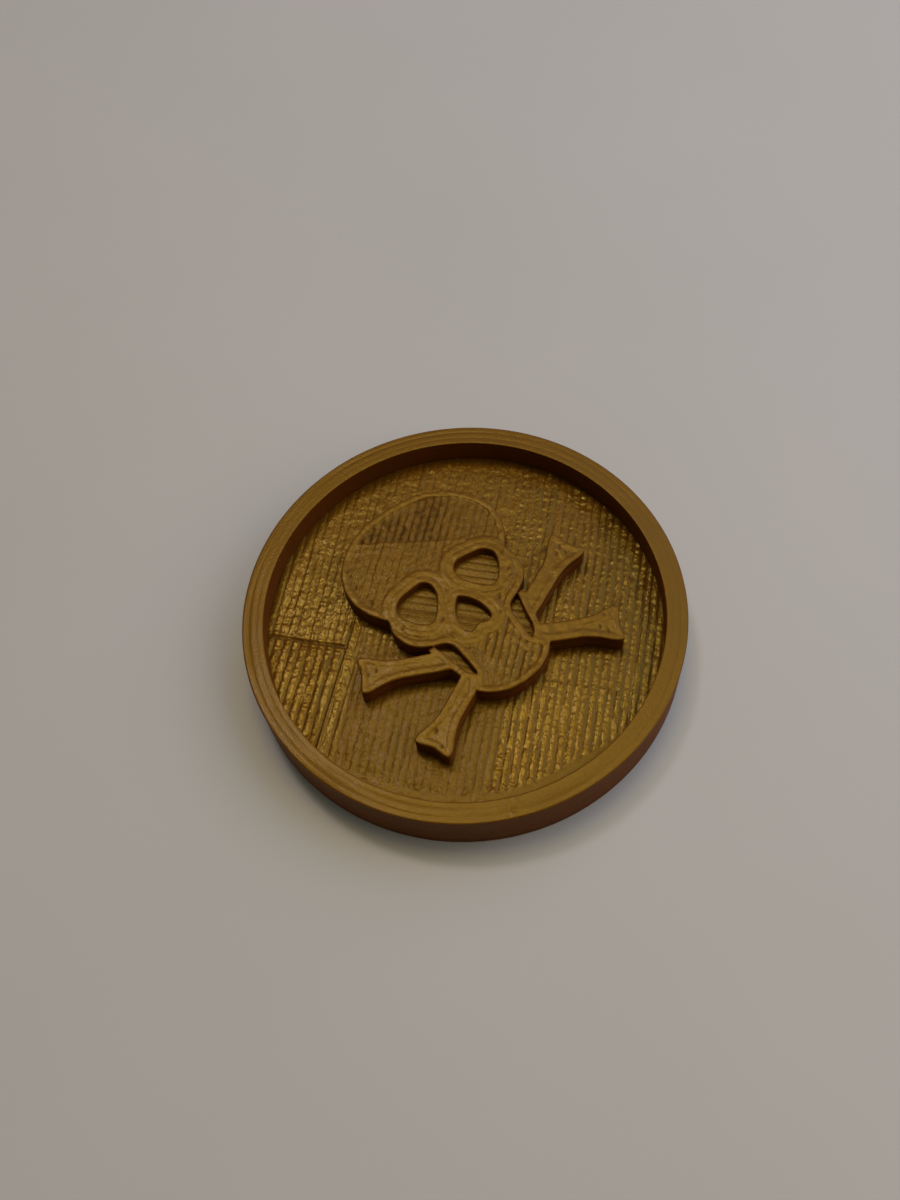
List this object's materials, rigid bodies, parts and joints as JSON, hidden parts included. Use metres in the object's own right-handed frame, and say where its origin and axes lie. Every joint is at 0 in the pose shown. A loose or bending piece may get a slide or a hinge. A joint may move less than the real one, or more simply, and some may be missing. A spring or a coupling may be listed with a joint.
{
  "type": "game token",
  "caption": "Round game token with a raised rim and, on its floor, a raised skull over crossed bones.",
  "frame": {"origin": "centre of the token's flat underside", "axes": "+Z out of the face with the emblem, +Y towards the crown of the skull, +X to the right of the skull as seen from above"},
  "size_m": [0.025, 0.025, 0.0032],
  "materials": {
    "bronze_plastic": "silky bronze-brown printed plastic with fine print lines"
  },
  "bodies": {
    "root": {"base_disc": "bronze_plastic", "rim_ring": "bronze_plastic", "emblem_backing": "bronze_plastic", "skull_face": "bronze_plastic", "bone_upper_left": "bronze_plastic", "bone_upper_right": "bronze_plastic", "bone_lower_left": "bronze_plastic", "bone_lower_right": "bronze_plastic"}
  },
  "joints": []
}
